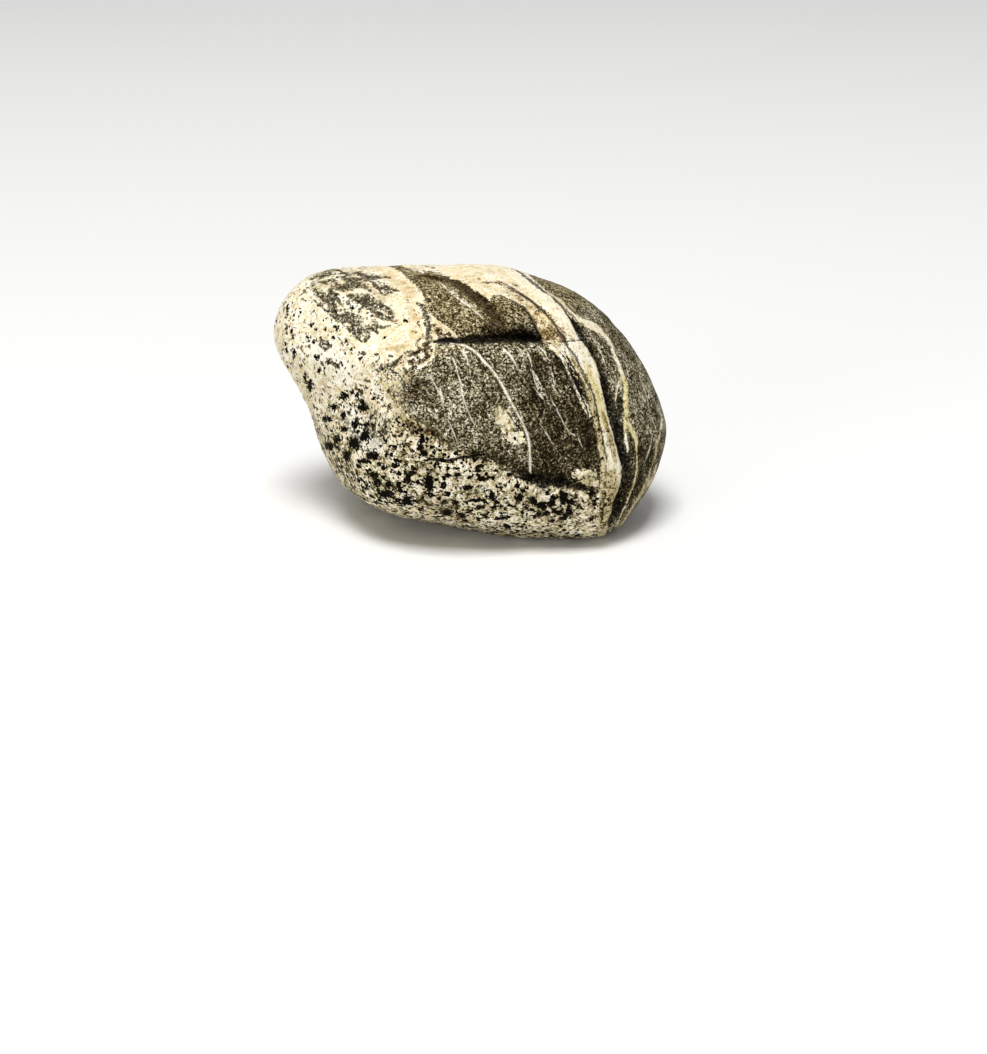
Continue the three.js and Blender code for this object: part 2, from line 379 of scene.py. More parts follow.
# Plain cream without specks: closed outlines.
PLAIN_CREAM = [
    [(376, 262, 6), (408, 262, 2), (420, 292, 2), (427, 318, 2), (430, 340, 4), (410, 352, 6),
     (372, 350, 8), (352, 340, 5), (372, 330, 6), (396, 318, 5), (392, 296, 5), (382, 280, 5)],
    [(420, 258, 2), (436, 266, 2), (458, 284, 2), (478, 300, 2), (504, 306, 2), (520, 318, 2),
     (530, 340, 2), (566, 344, 2), (566, 330, 2), (552, 306, 2), (534, 286, 2), (520, 270, 2),
     (500, 250, 2)],
]

# Reddish brown streaks and stains, each as x, y and width along it.
RUST = [
    [(500, 283, 1), (507, 286, 2), (513, 289, 3), (518, 292.5, 3), (523, 295, 3), (528, 298, 2.6),
     (532, 301, 3), (535, 304, 3), (538, 308, 3), (541, 312, 1.5)],
    [(526, 296, 2), (535, 303, 3), (543, 310, 3.4), (549, 316, 3.6), (556, 324, 4), (561, 331, 5),
     (565, 337, 5)],
    [(484, 281, 2), (492, 281.5, 2.6), (500, 281.5, 2.4), (507, 284, 2)],
    [(513, 283, 2), (518, 285, 2)],
    [(540, 329, 4), (546, 331, 5), (552, 331, 4)],
    [(541, 337, 5), (548, 338, 5), (554, 339, 4)],
    [(540, 343, 2.4), (556, 342, 3)],
    [(550, 327, 6), (557, 330, 10), (562, 335, 8), (565, 341, 5)],
    [(543, 333, 6), (553, 336, 8), (561, 341, 5)],
    [(479, 278, 3), (482, 281, 2)],
    [(414, 353, 4), (424, 348, 6), (429, 343, 4)],
    [(407, 299, 2), (410, 301.5, 2)],
    [(414, 309, 1.6), (416, 314, 2)],
    [(403, 318, 2), (407, 321, 2.6)],
    [(418, 323, 2), (420, 328, 2.2)],
    [(411, 330, 1.6), (415, 333, 2)],
    [(422, 336, 2), (418, 340, 2)],
    [(390, 320, 2), (396, 322.5, 3.4), (402, 324, 1.6)],
    [(406, 360, 4), (416, 361, 6), (426, 359, 5), (432, 350, 3)],
    [(404, 374, 4), (414, 368, 5)],
    [(434, 324, 3), (440, 332, 5), (451, 338, 4)],
    [(404, 422, 6), (416, 428, 12), (428, 434, 12), (444, 444, 6)],
    [(420, 275, 3), (432, 276, 4), (442, 279, 3)],
]

# Where rust is strewn through the pale rock.
STREWN_RUST = [
    [(504, 288, 4), (516, 295, 8), (528, 303, 10), (538, 314, 11), (546, 326, 12), (553, 336, 12)],
    [(560, 340, 8), (566, 350, 8), (572, 360, 8)],
]

# Yellow tints, each as x, y and width along it.
OCHRE = [
    [(470, 281, 4), (480, 282, 6), (490, 287, 6), (505, 291, 6), (520, 298, 6), (532, 307, 8),
     (542, 322, 10), (550, 334, 12)],
    [(388, 276, 8), (404, 290, 12), (412, 312, 12), (414, 336, 10)],
    [(378, 350, 5), (392, 347, 7), (408, 345, 5)],
    [(556, 298, 8), (564, 304, 8)],
    [(318, 288, 8), (332, 282, 8), (346, 290, 8)],
    [(360, 282, 8), (374, 290, 8), (384, 300, 8)],
    [(433, 330, 8), (446, 331, 10), (456, 338, 6)],
    [(390, 390, 10), (396, 410, 12), (410, 425, 12)],
]

# Where the veins are duller and more olive.
DULL_BANDS = [
    [(572, 356, 3), (582, 374, 4), (588, 392, 4.5), (593.5, 410, 5.5), (598, 430, 5.5),
     (602, 450, 5.5), (604, 470, 6), (603, 490, 5), (600, 515, 4)],
    [(614, 470, 4), (611, 486, 14), (608.5, 500, 16), (605, 516, 14), (600, 534, 10)],
    [(603, 412, 2), (607, 424, 5), (611, 438, 5), (614, 452, 5), (616, 462, 3)],
    [(661, 432, 5), (655, 458, 6), (646, 484, 8), (634, 505, 8), (620, 526, 6)],
]

# Where the veins are more yellow.
GOLDEN_BANDS = [
    [(588, 366, 4), (594, 384, 8), (600, 404, 8), (606, 424, 6)],
    [(624, 376, 6), (627, 400, 8), (628, 424, 9), (634, 438, 8), (637, 456, 6), (636, 480, 6),
     (629, 500, 6)],
]

# Where the pale rock is bright white quartz.
BRIGHT_QUARTZ = [
    [(306, 340, 10), (322, 354, 20), (338, 364, 24), (348, 378, 14)],
    [(346, 414, 12), (358, 428, 20), (368, 442, 20), (378, 452, 12)],
]

# Dark streaks of mica inside the pale rock, thin and broken; the one along the ledge's left end is
# painted shade under the lens.
DARK_STREAKS = [
    [(497, 294, 0.4), (505, 297, 1), (512, 300, 2), (519, 304, 2.4), (525, 308.5, 2.6),
     (529.5, 314, 2.8), (532.5, 320, 3), (536, 328, 3.4), (539, 334, 3)],
    [(508, 285, 0), (514, 288.5, 1.6), (521, 293, 1.6), (528.5, 298, 2), (535, 303.5, 1.8),
     (542.6, 310, 2), (549, 316, 1.8), (556, 324, 2.2), (561, 331, 2.6), (565.5, 336.5, 2.4),
     (568, 345, 1.4)],
    # Painted shade along the ledge's left end.
    [(434, 341, 3), (441, 339.5, 4), (448, 339.5, 4.4), (457, 341, 3.4)],
    [(319, 343, 1.8), (321, 341, 2), (326, 341, 2), (328.5, 344.5, 1.4), (327, 348.5, 2.4),
     (323, 348.5, 2), (319, 346, 2), (319, 343, 1.8)],
    [(338, 337, 0.4), (341, 341, 1.4), (343, 345, 0.8)],
    [(506, 260, 1), (519, 271, 1.8), (531, 281, 2.8), (541, 288.5, 3.2), (546, 292.5, 2.4),
     (552, 297, 2), (559, 303, 3), (564, 309, 3.4), (568, 315, 3.2), (573, 321, 4.6), (578, 328, 5)],
    [(312, 299, 1), (324, 309, 1.4), (337, 321, 1)],
    [(549, 349, 0), (557, 358, 1.8), (562, 366, 1.8), (566, 374, 2), (570, 383, 2), (574, 392, 2),
     (578, 401, 1.4), (582, 410, 1)],
    [(561, 358, 0), (567, 366, 2), (572, 374, 2.6), (577, 384, 3.4), (581, 394, 2.4), (584, 402, 1.6),
     (588, 412, 1)],
    [(566, 344, 1), (570, 349, 2), (575, 355, 1.6), (580, 363, 2), (584, 371, 2), (587, 379, 1.8),
     (590, 387, 1.4), (594, 397, 1.6), (596.5, 406, 1.8), (598.5, 416, 1.8), (600.5, 426, 1.2),
     (602.5, 436, 1.2), (604.6, 447, 1.4), (607, 458, 1)],
    [(607.5, 476, 0), (606, 486, 0.8), (604.5, 496, 1.4), (603.5, 508, 1.4), (602, 520, 1),
     (600, 530, 0)],
    [(505, 409, 0), (510, 416, 2.4), (515, 424, 2.6), (519, 433, 1)],
    [(655, 448, 0), (652, 464, 1.4), (646, 480, 1.6), (638, 495, 0)],
]

# Where the schist is at its darkest: darker schist, and painted shade in the pocket above the ledge and
# along the lower right rim.
DARK_SCHIST_AND_SHADE = [
    [(560, 352, 12), (574, 372, 26), (582, 396, 36), (586, 424, 44), (588, 456, 44), (576, 484, 30)],
    [(534, 366, 16), (544, 390, 34), (550, 416, 40), (552, 442, 44), (548, 466, 30)],
    # Painted shade in the pocket above the ledge.
    [(484, 328, 6), (500, 331, 9), (516, 332, 11), (530, 334, 11), (538, 338, 6)],
    [(446, 272, 4), (464, 284, 6), (482, 298, 8), (498, 316, 10)],
    # Painted shade along the lower right rim.
    [(640, 448, 14), (646, 466, 20), (634, 490, 18), (622, 510, 12)],
    [(470, 452, 10), (500, 462, 14), (540, 474, 22), (580, 478, 20)],
]

# The smooth brown zone of the upper schist, as a closed outline.
BROWN_ZONE = [
    (441, 273, 2), (452, 278, 2), (462, 282, 2), (470, 287, 2), (479, 296, 2), (488, 303, 3),
    (498, 314, 3), (507, 330, 4), (498, 324, 3), (486, 313, 3), (475, 303, 2), (462, 292, 2),
    (452, 284, 2), (443, 278, 2),
]

# Black mineral in the bands beside the veins, and painted shade in the hollow at the front schist's foot.
BLACK_BANDS_AND_HOLLOW_SHADE = [
    [(570, 316, 2), (576, 324, 5), (582, 333, 8), (588, 343, 7), (596, 355, 6), (602, 368, 6.5),
     (605, 380, 7), (608, 394, 8), (611.5, 408, 11), (615.5, 422, 13), (619.5, 438, 11),
     (624, 452, 11), (627, 468, 10), (626, 482, 9), (621, 496, 8), (615.5, 510, 8), (611, 524, 7)],
    [(618, 386, 2), (621, 394, 4), (621, 404, 5), (619, 416, 6)],
    [(629, 428, 1), (631, 436, 3), (632, 446, 3)],
    [(572, 372, 3), (578, 384, 6), (583, 396, 3)],
    # Painted shade: the hollow at the front schist's foot, and its tail to the right.
    [(519, 472, 3), (525, 476, 9), (534, 480, 14), (546, 482, 16), (558, 483, 13), (570, 484, 6)],
    [(576, 484, 1), (590, 491, 4), (600, 493, 2)],
]

# Open cracks, each as x, y and width along it. The shade inside them is painted black.
CRACKS = [
    [(424, 461, 0), (432, 460, 3.2), (440, 461, 4), (450, 462, 4.2), (460, 459, 3.8),
     (470, 457.5, 3.2), (480, 456, 2.4), (490, 455, 0)],
    [(562, 340, 1), (574, 340, 1.4), (586, 338, 1)],
    [(512, 475, 0), (520, 479, 2.4), (530, 482, 2)],
]

# The ledge across the front: the level of its edge, how deep the pocket above it goes along it, as
# pairs of x in pixels and depth in mm, over what height in mm the pocket closes, and where black
# painted shade lies in the pocket, as x, y and width.
LEDGE_LEVEL = 341.2
POCKET_DEPTHS = [(430, 0), (446, 0.8), (470, 1.2), (486, 2.2), (500, 3.8), (516, 5), (534, 5.5), (541, 0)]
POCKET_HEIGHT = 4.2
LEDGE_SHADE = [
    (434, 341, 3), (442, 340, 7), (452, 339.5, 8), (462, 339, 8.4), (476, 338.5, 9), (492, 338, 9),
    (508, 337.5, 9), (522, 337.5, 9), (534, 338, 8), (539, 338.5, 4),
]

# Lines that the layers follow, each with its place across the layers in mm.
LAYER_GUIDES = [
    (-62, [(330, 330), (350, 380), (366, 420), (378, 470), (380, 520)]),
    (-34, [(440, 270), (461, 330), (488, 363), (506, 391), (519, 416), (529, 440), (530, 474)]),
    (0, [(515, 267), (547, 300), (577, 342), (594, 388), (604, 416), (612, 450), (615, 480), (604, 528)]),
    (11, [(560, 292), (590, 324), (613, 352), (624, 384), (629, 424), (637, 463), (623, 518)]),
]


def catmull_rom(points, closed=False, steps=5):
    """A smooth run of points through the drawn ones, as rows of an array."""
    rows = np.array(points, float)
    if closed:
        rows = np.vstack([rows[-1], rows, rows[:2]])
    else:
        rows = np.vstack([2 * rows[0] - rows[1], rows, 2 * rows[-1] - rows[-2]])
    made = []
    for a, b, c, d in zip(rows, rows[1:], rows[2:], rows[3:]):
        bend = 2 * a - 5 * b + 4 * c - d
        twist = 3 * b - a - 3 * c + d
        for t in np.arange(steps) / steps:
            made.append(0.5 * (2 * b + (c - a) * t + bend * t**2 + twist * t**3))
    made.append(rows[-2])
    return np.array(made)


def nearest(line, places, reach=60):
    """For each place: how far the line is, its side as -1 or 1, the run along it, and its other columns.

    Places beyond the reach, in pixels, count as infinitely far.
    """
    low = line[:, :2].min(0) - reach
    high = line[:, :2].max(0) + reach
    close = np.all((places > low) & (places < high), axis=1)
    spots = places[close]
    best = np.full(len(spots), np.inf)
    side = np.ones(len(spots))
    run = np.zeros(len(spots))
    columns = np.zeros((len(spots), line.shape[1] - 2))
    so_far = 0.0
    for a, b in zip(line, line[1:]):
        step = b[:2] - a[:2]
        length = math.hypot(*step)
        if length < 1e-9:
            continue
        off = spots - a[:2]
        share = np.clip(off @ step / length**2, 0, 1)
        gap = np.hypot(*(off - share[:, None] * step).T)
        closer = gap < best
        best[closer] = gap[closer]
        cross = step[0] * off[closer, 1] - step[1] * off[closer, 0]
        side[closer] = np.where(cross > 0, -1, 1)
        run[closer] = so_far + share[closer] * length
        columns[closer] = a[2:] + share[closer, None] * (b[2:] - a[2:])
        so_far += length
    found = [np.full(len(places), np.inf), np.ones(len(places)), np.zeros(len(places))]
    found.append(np.ones((len(places), line.shape[1] - 2)))
    for whole, part in zip(found, [best, side, run, columns]):
        whole[close] = part
    return found


def inside(outline, places):
    """Whether each place lies inside a closed outline."""
    x, y = places.T
    odd = np.zeros(len(places), bool)
    for a, b in zip(outline, outline[1:]):
        spans = (a[1] > y) != (b[1] > y)
        rise = b[1] - a[1]
        crossing = a[0] + (y - a[1]) * (b[0] - a[0]) / (rise if abs(rise) > 1e-9 else 1e-9)
        odd ^= spans & (x < crossing)
    return odd


def body_field(outlines, places):
    """How deep each place lies inside the nearest outline, in widths of the mixed zone along its edge."""
    field = np.full(len(places), -FAR_OUTSIDE)
    for outline in outlines:
        line = catmull_rom(outline, closed=True)
        gap, _, _, mixing = nearest(line, places)
        depth = gap / mixing[:, 0] * np.where(inside(line, places), 1, -1)
        field = np.maximum(field, depth)
    return np.clip(field, -FAR_OUTSIDE, FAR_OUTSIDE)


def line_fields(lines, places, kept=1):
    """The nearest line in pixels: how far its middle is, with its side as the sign, and its half width.

    The share of the width that is kept can vary from place to place.
    """
    gaps = np.full(len(places), FAR_OFF)
    sides = np.ones(len(places))
    halves = np.zeros(len(places))
    for points in lines:
        gap, side, _, width = nearest(catmull_rom(points), places)
        half = width[:, 0] / 2 * kept
        closer = gap - half < gaps - halves
        gaps[closer] = gap[closer]
        sides[closer] = side[closer]
        halves[closer] = half[closer]
    return gaps * sides, halves


def patch_field(lines, places):
    """1 in the middle of the drawn patches, one half at their drawn edge and 0 at twice their width."""
    across, halves = line_fields(lines, places)
    return np.clip(1 - abs(across) / np.maximum(2 * halves, 0.1), 0, 1)


def clot_field(places):
    """1 in the middle of the drawn clots, one half at their edge and 0 at twice their size."""
    field = np.zeros(len(places))
    for x, y, width, height in CLOTS:
        share = np.hypot((places[:, 0] - x) / width, (places[:, 1] - y) / height)
        field = np.maximum(field, 1 - share)
    return field


def layer_fields(places):
    """Each place's coordinates across and along the layers, in mm."""
    across = np.zeros(len(places))
    along = np.zeros(len(places))
    weights = np.zeros(len(places))
    for level, points in LAYER_GUIDES:
        line = catmull_rom(points)
        start = line[0] + 60 * (line[0] - line[1])
        end = line[-1] + 60 * (line[-1] - line[-2])
        line = np.vstack([start, line, end])
        gap, side, run, _ = nearest(line, places, reach=1e6)
        level_run = np.hypot(*(start - line[1])) + 60
        weight = 1 / (gap + 4) ** 2
        across += weight * (level + gap * side * MM_PER_PIXEL)
        along += weight * (run - level_run) * MM_PER_PIXEL
        weights += weight
    return across / weights, along / weights


def make_camera():
    """The camera, aimed so that the stone's middle is seen at its own pixel."""
    data = bpy.data.cameras.new("camera")
    data.sensor_width = SENSOR
    data.lens = FOCAL_PIXELS * SENSOR / max(VIEW_SIZE)
    camera = bpy.data.objects.new("camera", data)
    bpy.context.scene.collection.objects.link(camera)
    camera.location = MIDDLE - AWAY * VIEW_DISTANCE
    right = math.atan((VIEW_SIZE[0] / 2 - MIDDLE_SEEN[0]) / FOCAL_PIXELS)
    down = math.atan((VIEW_SIZE[1] / 2 - MIDDLE_SEEN[1]) / FOCAL_PIXELS)
    camera.rotation_euler = (math.pi / 2 - VIEW_ELEVATION - down, 0, -right)
    bpy.context.scene.camera = camera
    bpy.context.view_layer.update()
    return camera


def seen_places(camera, points):
    """Where the camera sees points given in metres, in pixels, and how far behind the middle they are."""
    turn = np.array(camera.matrix_world.inverted())
    local = points @ turn[:3, :3].T + turn[:3, 3]
    far = -local[:, 2]
    x = VIEW_SIZE[0] / 2 + FOCAL_PIXELS * local[:, 0] / far
    y = VIEW_SIZE[1] / 2 - FOCAL_PIXELS * local[:, 1] / far
    behind = 1000 * (far - VIEW_DISTANCE)
    return np.column_stack([x, y]), behind


def smooth(low, high, values):
    """0 at low and beyond it, 1 at high and beyond it, and an even curve between. Low may be larger."""
    share = np.clip((values - low) / (high - low), 0, 1)
    return share * share * (3 - 2 * share)


def rough_noise(points, size, octaves, seed):
    """Fractal noise between about -1 and 1 at points in mm, with lumps of a size in mm."""
    offset = Vector((seed * 7.1, seed * 3.7, seed * 5.3))
    return np.array([noise.fractal(Vector(p) / size + offset, 1.0, 2.0, octaves) for p in points])


def add_attribute(mesh, name, values):
    """Stores one number on each corner of the mesh, for the material to read."""
    layer = mesh.attributes.new(name, "FLOAT", "POINT")
    layer.data.foreach_set("value", values.astype(np.float32))


def refined_copy(node):
    """A fine smooth copy of a CAD node's mesh, as a new object at the origin."""
    source = bmesh.new()
    source.from_mesh(node.data)
    bmesh.ops.remove_doubles(source, verts=source.verts, dist=1e-6)
    coarse = bpy.data.meshes.new("stone_coarse")
    source.to_mesh(coarse)
    source.free()
    holder = bpy.data.objects.new("stone_coarse", coarse)
    bpy.context.scene.collection.objects.link(holder)
    worn = holder.modifiers.new("worn", "SUBSURF")
    worn.levels = 2
    worn.render_levels = 2
    graph = bpy.context.evaluated_depsgraph_get()
    fine = bpy.data.meshes.new_from_object(holder.evaluated_get(graph))
    bpy.data.objects.remove(holder)
    bpy.data.meshes.remove(coarse)
    fine.name = "gneiss_stone"
    fine.shade_smooth()
    stone = bpy.data.objects.new("gneiss_stone", fine)
    bpy.context.scene.collection.objects.link(stone)
    return stone


def mesh_points(mesh):
    """The mesh's corners in metres, as rows of an array."""
    points = np.zeros(len(mesh.vertices) * 3)
    mesh.vertices.foreach_get("co", points)
    return points.reshape(-1, 3)


def mesh_normals(mesh):
    """Which way the surface looks at each corner of the mesh, as rows of an array."""
    normals = np.zeros(len(mesh.vertices) * 3)
    mesh.vertices.foreach_get("normal", normals)
    return normals.reshape(-1, 3)


def draw_minerals(stone, camera):
    """Works out every mineral at every corner of the mesh, and returns them by name."""
    points = mesh_points(stone.data)
    places, behind = seen_places(camera, points)
    lean = np.clip(behind + LEAN_START, 0, None)
    bend = rough_noise(points * 1000, BEND_SIZE, 2, 1) * np.clip(behind + 10, 0, 45) * BEND_REACH
    places = places + lean[:, None] * np.array(LEAN) + bend[:, None] * np.array(BEND_WAY)
    front = 1 - smooth(*FRONT_FADE, behind)
    facing = smooth(0.05, 0.3, -mesh_normals(stone.data) @ np.array(AWAY))
    fields = {"front": front}
    fields["schist"] = body_field([FRONT_SCHIST, UPPER_SCHIST, RIGHT_SCHIST], places)
    fields["lens"] = body_field(PALE_LENSES, places) - FAR_OUTSIDE * (1 - front)
    fields["plain"] = body_field(PLAIN_CREAM, places)
    fields["brown"] = body_field([BROWN_ZONE], places) - FAR_OUTSIDE * (1 - front)
    drawn = {
        "cream": (CREAM_VEINS, 1),
        "long": (LONG_STREAKS, 1),
        "short": (SHORT_STREAKS, front),
        "dark": (DARK_STREAKS, front),
        "crack": (CRACKS, front),
    }
    for name, (lines, kept) in drawn.items():
        across, halves = line_fields(lines, places, kept)
        fields[name] = across
        fields[name + "_half"] = halves
        fields[name + "_apart"] = abs(across)
    strewn_mica = 0.42 * patch_field(STREWN_MICA, places) * front
    fields["mica"] = np.maximum(patch_field(MICA_PATCHES, places) * (0.35 + 0.65 * front), strewn_mica)
    fields["clot"] = clot_field(places) * front * facing
    strewn_rust = 0.5 * patch_field(STREWN_RUST, places)
    fields["rust"] = np.maximum(patch_field(RUST, places), strewn_rust) * (0.3 + 0.7 * front)
    fields["ochre"] = patch_field(OCHRE, places)
    fields["dull"] = patch_field(DULL_BANDS, places)
    fields["golden"] = patch_field(GOLDEN_BANDS, places)
    fields["bright"] = patch_field(BRIGHT_QUARTZ, places) * front
    fields["dusk"] = patch_field(DARK_SCHIST_AND_SHADE, places) * front
    fields["black"] = patch_field(BLACK_BANDS_AND_HOLLOW_SHADE, places)
    # Painted shade in the pocket above the ledge.
    fields["ledge"] = patch_field([LEDGE_SHADE], places) * front
    fields["across"], fields["along"] = layer_fields(places)
    fields["depth"] = behind
    rows = places[:, 1] + COARSE_RISE * (places[:, 0] - COARSE_COLUMN)
    fields["coarse"] = smooth(*COARSENING, rows)
    fields["pocket"] = pocket_depth(places) * front
    return fields


def pocket_depth(places):
    """How deep in mm the pocket above the ledge is cut at each place."""
    along, depths = zip(*POCKET_DEPTHS)
    above = (LEDGE_LEVEL - places[:, 1]) * MM_PER_PIXEL
    closing = smooth(0, 0.9, above) * np.exp(-((np.clip(above, 0, None) / POCKET_HEIGHT) ** 2))
    return np.interp(places[:, 0], along, depths) * closing


def weather(stone, fields):
    """Moves the corners of the mesh in and out: weathering, worn seams, the crack and the pocket."""
    mesh = stone.data
    points = mesh_points(mesh) * 1000
    normals = mesh_normals(mesh)
    front = fields["front"]
    schist = smooth(-1, 1, fields["schist"])
    layers = np.column_stack([fields["across"] * 3, fields["along"] * 0.6, fields["depth"] * 0.6])
    height = BROAD_WEAR * rough_noise(points, 14, 3, 2)
    height += (1 - schist) * GRANITE_ROUGHNESS * rough_noise(points, 3.2, 3, 3)
    height += schist * SCHIST_ROUGHNESS * rough_noise(layers, 4.5, 3, 4)
    height += VEIN_RISE * smooth(1, -1, fields["cream_apart"] - fields["cream_half"])
    height -= BLACK_WEAR * smooth(0.2, 0.8, fields["black"])
    height -= CRACK_WEAR * smooth(1, -0.6, fields["crack_apart"] - fields["crack_half"]) * front
    height -= INSET
    grounded = smooth(0.2, 3, points[:, 2])
    points += normals * (height * grounded)[:, None]
    points += fields["pocket"][:, None] * np.array(AWAY)
    points[:, 2] = np.clip(points[:, 2], 0, None)
    mesh.vertices.foreach_set("co", (points / 1000).ravel())
    mesh.update()


def srgb(*levels):
    """A colour given as on screen, from 0 to 255, as the linear values that a material takes."""
    shares = [level / 255 for level in levels]
    return tuple(s / 12.92 if s <= 0.04045 else ((s + 0.055) / 1.055) ** 2.4 for s in shares)


class Value:
    """A socket of a material's nodes. Plain arithmetic on it adds the Math nodes that work it out."""

    def __init__(self, paint, socket):
        self.paint = paint
        self.socket = socket

    def math(self, operation, *values):
        return self.paint.add("ShaderNodeMath", {"operation": operation}, values)

    def __add__(self, other):
        return self.math("ADD", self, other)

    def __radd__(self, other):
        return self.math("ADD", other, self)

    def __sub__(self, other):
        return self.math("SUBTRACT", self, other)

    def __rsub__(self, other):
        return self.math("SUBTRACT", other, self)

    def __mul__(self, other):
        return self.math("MULTIPLY", self, other)

    def __rmul__(self, other):
        return self.math("MULTIPLY", other, self)

    def __abs__(self):
        return self.math("ABSOLUTE", self)

    def least(self, other):
        return self.math("MINIMUM", self, other)

    def most(self, other):
        return self.math("MAXIMUM", self, other)


class Paint:
    """A material whose nodes are added by name."""

    def __init__(self, name):
        self.material = bpy.data.materials.new(name)
        self.material.use_nodes = True
        self.tree = self.material.node_tree
        self.tree.nodes.clear()

    def add(self, kind, settings=None, values=(), output=0):
        """Adds a node: its settings first, then the values or links of its sockets, by name or order."""
        node = self.tree.nodes.new(kind)
        for name, setting in (settings or {}).items():
            if name == "stops":
                self.set_stops(node.color_ramp, setting)
            else:
                setattr(node, name, setting)
        pairs = values.items() if isinstance(values, dict) else enumerate(values)
        for name, value in pairs:
            if isinstance(value, Value):
                self.tree.links.new(value.socket, node.inputs[name])
            else:
                node.inputs[name].default_value = value
        return Value(self, node.outputs[output]) if node.outputs else None

    def set_stops(self, ramp, stops):
        """Gives a colour ramp its stops: pairs of a position and a colour."""
        while len(ramp.elements) < len(stops):
            ramp.elements.new(1)
        for element, (position, colour) in zip(ramp.elements, stops):
            element.position = position
            element.color = (*colour, 1)

    def ramp(self, value, stops):
        """A colour from a ramp, picked by a value."""
        return self.add("ShaderNodeValToRGB", {"stops": stops}, {"Fac": value})

    def attribute(self, name):
        """A number stored on the mesh."""
        return self.add("ShaderNodeAttribute", {"attribute_name": name}, (), "Fac")

    def step(self, value, low, high):
        """0 where the value is at low, 1 where it is at high, and an even curve between."""
        return self.add(
            "ShaderNodeMapRange",
            {"interpolation_type": "SMOOTHSTEP"},
            {"Value": value, "From Min": low, "From Max": high},
        )

    def blend(self, share, first, second, mode="MIX"):
        """A mix of two colours: the second one, or both in a blending mode, where the share is 1."""
        chosen = {"Factor": share, 6: self.colour(first), 7: self.colour(second)}
        return self.add("ShaderNodeMix", {"data_type": "RGBA", "blend_type": mode}, chosen, 2)

    def colour(self, value):
        """A fixed colour with its alpha, or a linked one as it is."""
        return value if isinstance(value, Value) else (*value, 1)

    def scaled(self, place, size):
        """Object coordinates divided by a size in mm."""
        stretch = {0: place, "Scale": 1000 / size}
        return self.add("ShaderNodeVectorMath", {"operation": "SCALE"}, stretch)

    def noise(self, place, size, detail=2.0, rough=0.5):
        """Smooth noise from 0 to 1, with lumps of a size in mm."""
        sockets = {"Vector": self.scaled(place, size), "Scale": 1.0, "Detail": detail, "Roughness": rough}
        return self.add("ShaderNodeTexNoise", {"noise_dimensions": "3D"}, sockets, "Fac")

    def grains(self, place, size):
        """Mineral grains of a size in mm: two random numbers that each grain keeps all over."""
        sockets = {"Vector": self.scaled(place, size), "Scale": 1.0, "Randomness": 1.0}
        settings = {"feature": "F1", "voronoi_dimensions": "3D"}
        tint = self.add("ShaderNodeTexVoronoi", settings, sockets, "Color")
        first = self.add("ShaderNodeSeparateColor", {}, (tint,), 0)
        return first, Value(self, first.socket.node.outputs[1])


# Colours of the minerals.
BRIGHT_WHITE = srgb(246, 243, 232)
WHITE = srgb(246, 240, 222)
FELDSPAR = srgb(230, 221, 195)
QUARTZ = srgb(198, 188, 152)
GREY_QUARTZ = srgb(132, 124, 92)
CREAM = srgb(234, 220, 184)
PALE_CREAM = srgb(248, 240, 218)
OLIVE_CREAM = srgb(184, 167, 122)
DULL_OLIVE = srgb(86, 72, 44)
# Black mica, and also the painted shade inside the open cracks.
BLACK_MICA_AND_CRACK_SHADE = srgb(11, 7, 2)
BROWN_MICA = srgb(52, 42, 20)
DARK_GRAIN_AND_LEDGE_SHADE = srgb(18, 13, 5)
# The darkest schist grain, and also the painted shade along the ledge's left end.
BROWN_GRAIN = srgb(58, 49, 29)
MID_GRAIN = srgb(104, 95, 69)
PALE_GRAIN = srgb(182, 173, 143)
SMOOTH_BROWN = srgb(80, 66, 45)

# Stains, which only darken and tint what lies under them.
PINK_FELDSPAR = srgb(246, 228, 214)
YELLOW_FELDSPAR = srgb(240, 231, 190)
BROWN_STAIN = srgb(255, 248, 229)
RUST_STAIN = srgb(128, 110, 76)
DARK_RUST = srgb(110, 80, 56)
GOLDEN_STAIN = srgb(236, 231, 192)
OCHRE_STAIN = srgb(225, 217, 198)
DULL_STAIN = srgb(216, 209, 184)
# Black for the bands beside the veins, and painted shade: the pocket above the ledge and the hollow at
# the front schist's foot.
BLACK_MINERAL_AND_SHADE = srgb(24, 19, 12)


def grain_patterns(paint):
    """The random patterns that all the minerals share."""
    place = paint.add("ShaderNodeTexCoord", {}, (), "Object")
    swirl = paint.add(
        "ShaderNodeTexNoise",
        {"noise_dimensions": "3D"},
        {"Vector": place, "Scale": STIR_LUMPS, "Detail": 2.0},
        "Color",
    )
    centred = paint.add("ShaderNodeVectorMath", {"operation": "SUBTRACT"}, (swirl, (0.5, 0.5, 0.5)))
    reach = paint.add("ShaderNodeVectorMath", {"operation": "SCALE"}, {0: centred, "Scale": STIR_REACH})
    stirred = paint.add("ShaderNodeVectorMath", {"operation": "ADD"}, (place, reach))
    across = paint.attribute("across") * 0.001
    along = paint.attribute("along") * (0.001 * LAYER_STRETCH)
    depth = paint.attribute("depth") * (0.001 * LAYER_STRETCH)
    layered = paint.add("ShaderNodeCombineXYZ", {}, (across, along, depth))
    tall = paint.add("ShaderNodeVectorMath", {"operation": "MULTIPLY"}, (stirred, (1, 1, 0.6)))
    grain = SimpleNamespace(place=place, stirred=stirred, layered=layered, tall=tall)
    grain.tiny, _ = paint.grains(stirred, TINY_GRAIN)
    grain.small, grain.other = paint.grains(stirred, SMALL_GRAIN)
    grain.large, grain.third = paint.grains(stirred, LARGE_GRAIN)
    grain.fine = paint.noise(stirred, 0.7, 2, 0.6) - 0.5
    grain.wobble = paint.noise(stirred, 2.2, 3, 0.6) - 0.5
    grain.drift = paint.noise(place, 9, 2) - 0.5
    grain.streak = paint.noise(layered, 1.0, 3, 0.6) - 0.5
    grain.ragged = grain.wobble * 1.2 + (grain.small - 0.5) * 0.7 + grain.fine * 0.8
    return grain


